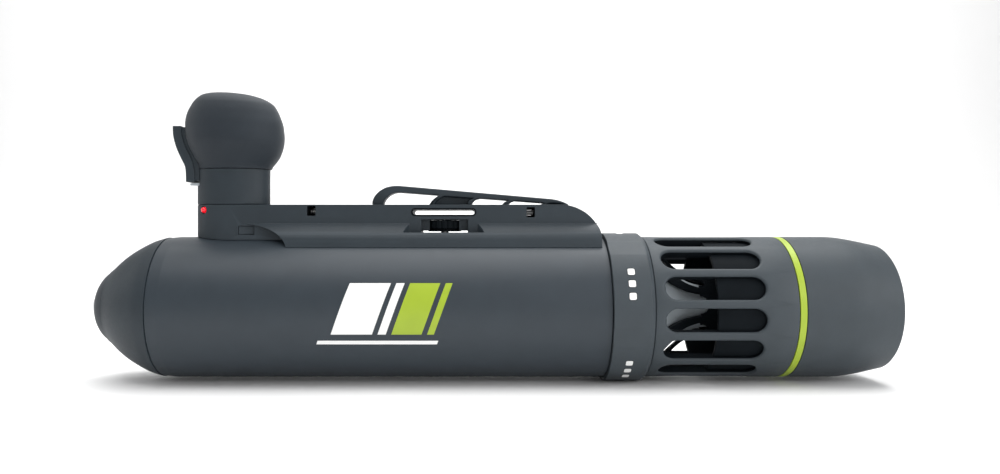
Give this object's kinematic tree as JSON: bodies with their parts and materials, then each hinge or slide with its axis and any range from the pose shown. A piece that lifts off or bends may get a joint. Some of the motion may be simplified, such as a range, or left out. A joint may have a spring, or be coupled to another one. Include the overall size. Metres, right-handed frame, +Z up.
{
  "type": "underwater scooter",
  "caption": "Underwater scooter: round hull with a screw-on nose, a slotted jet drive behind a twist collar, and a top adapter with a bulb-shaped trigger handle.",
  "frame": {"origin": "on the surface that the scooter lies on, under the middle of its length", "axes": "+X along the hull from the nose to the nozzle, +Z up through the handle, +Y to the rider's far side"},
  "size_m": [0.618, 0.116, 0.2264],
  "materials": {
    "hull_coating": "fine satin powder coat on an aluminium tube, dark slate",
    "dark_plastic": "fine moulded matt texture, dark slate",
    "jet_plastic": "fine moulded matt texture, slate",
    "grip_rubber": "soft matt overmould",
    "seal_rubber": "smooth black",
    "lime_accent": "satin lime",
    "stainless": "fine turned stainless steel",
    "pale_metal": "bead-blasted grey",
    "black_plastic": "satin black",
    "cell_wrap": "blue shrink wrap on cells, given a metal's density",
    "circuit_board": "green board with black parts",
    "motor_iron": "laminations with copper windings",
    "foam": "closed-cell foam",
    "red_lens": "clear red",
    "white_plastic": "satin white",
    "bronze": "turned bronze"
  },
  "bodies": {
    "hull": {"hull_tube": "hull_coating", "battery_bank_front": "cell_wrap", "battery_bank_middle": "cell_wrap", "battery_bank_rear": "cell_wrap", "battery_tray": "stainless", "battery_board": "circuit_board", "front_pad": "foam", "rear_bulkhead": "black_plastic", "bulkhead_seal": "seal_rubber", "power_socket": "black_plastic", "saddle": "dark_plastic", "saddle_gasket": "seal_rubber", "saddle_screw_1": "stainless", "saddle_screw_2": "stainless", "saddle_screw_3": "stainless", "saddle_screw_4": "stainless", "status_led": "red_lens", "carry_bow": "dark_plastic", "bow_screw_front": "stainless", "bow_screw_rear": "stainless", "lash_pin_front": "stainless", "lash_pin_rear": "stainless", "latch_spring": "stainless"},
    "nose_thread": {"nose_seal": "seal_rubber"},
    "nose": {"nose_cap": "dark_plastic", "nose_bumper": "grip_rubber", "vent_plug": "stainless", "vent_seal": "seal_rubber"},
    "drive_unit": {"motor_housing": "dark_plastic", "power_plug": "black_plastic", "spigot_seal": "seal_rubber", "motor_controller": "circuit_board", "motor_stator": "motor_iron", "front_bearing": "stainless", "rear_bearing": "stainless", "shaft_seal": "seal_rubber", "shaft_bush": "bronze", "flow_cone": "pale_metal", "guide_cage": "black_plastic", "intake_cage": "jet_plastic", "duct_liner": "black_plastic", "stator_vanes": "black_plastic", "accent_ring": "lime_accent", "nozzle": "jet_plastic"},
    "collar": {"locking_collar": "jet_plastic"},
    "rotor": {"drive_shaft": "stainless", "motor_rotor": "stainless", "impeller": "black_plastic", "impeller_nut": "stainless"},
    "handle": {"handle_neck": "dark_plastic", "handle_grip": "grip_rubber", "trigger_pin": "stainless", "trigger_spring": "stainless", "trigger_sensor": "circuit_board", "trigger_stop": "pale_metal"},
    "trigger": {"trigger": "dark_plastic"},
    "latch": {"handle_latch": "dark_plastic"},
    "wheel": {"clamp_wheel": "black_plastic"},
    "clamp": {"clamp_screw": "stainless", "clamp_shoe": "stainless"}
  },
  "joints": [
    {"name": "nose_slide", "type": "slide", "parent": "hull", "child": "nose_thread", "axis": [-1, 0, 0], "range_m": [0, 0.025]},
    {"name": "nose_twist", "type": "hinge", "parent": "nose_thread", "child": "nose", "pos_m": [-0.26, 0, 0.0575], "axis": [-1, 0, 0], "range_deg": [0, 1800]},
    {"name": "drive_unit_pull", "type": "slide", "parent": "hull", "child": "drive_unit", "axis": [1, 0, 0], "range_m": [0, 0.045]},
    {"name": "collar_twist", "type": "hinge", "parent": "drive_unit", "child": "collar", "pos_m": [0.109, 0, 0.0575], "axis": [1, 0, 0], "range_deg": [0, 30]},
    {"name": "impeller_spin", "type": "hinge", "parent": "drive_unit", "child": "rotor", "pos_m": [0.228, 0, 0.0575], "axis": [1, 0, 0], "continuous": true},
    {"name": "handle_lift", "type": "slide", "parent": "hull", "child": "handle", "axis": [0, 0, 1], "range_m": [0, 0.021]},
    {"name": "trigger_pull", "type": "hinge", "parent": "handle", "child": "trigger", "pos_m": [-0.213, 0, 0.1615], "axis": [0, 1, 0], "range_deg": [0, 8], "stiffness_Nm_per_rad": 1.2, "springref_deg": -6.88},
    {"name": "latch_press", "type": "slide", "parent": "hull", "child": "latch", "axis": [0, 1, 0], "range_m": [0, 0.002], "stiffness_N_per_m": 400, "springref_m": -0.002},
    {"name": "clamp_wheel_turn", "type": "hinge", "parent": "hull", "child": "wheel", "pos_m": [-0.03, 0, 0.122], "axis": [0, 0, 1], "range_deg": [0, 450]},
    {"name": "clamp_rise", "type": "slide", "parent": "hull", "child": "clamp", "axis": [0, 0, 1], "range_m": [0, 0.0025]}
  ],
  "couplings": [
    {"joint": "nose_slide", "follows": "nose_twist", "m_per_rad": 0.00079577},
    {"joint": "clamp_wheel_turn", "follows": "clamp_rise", "rad_per_m": 3141.6}
  ]
}
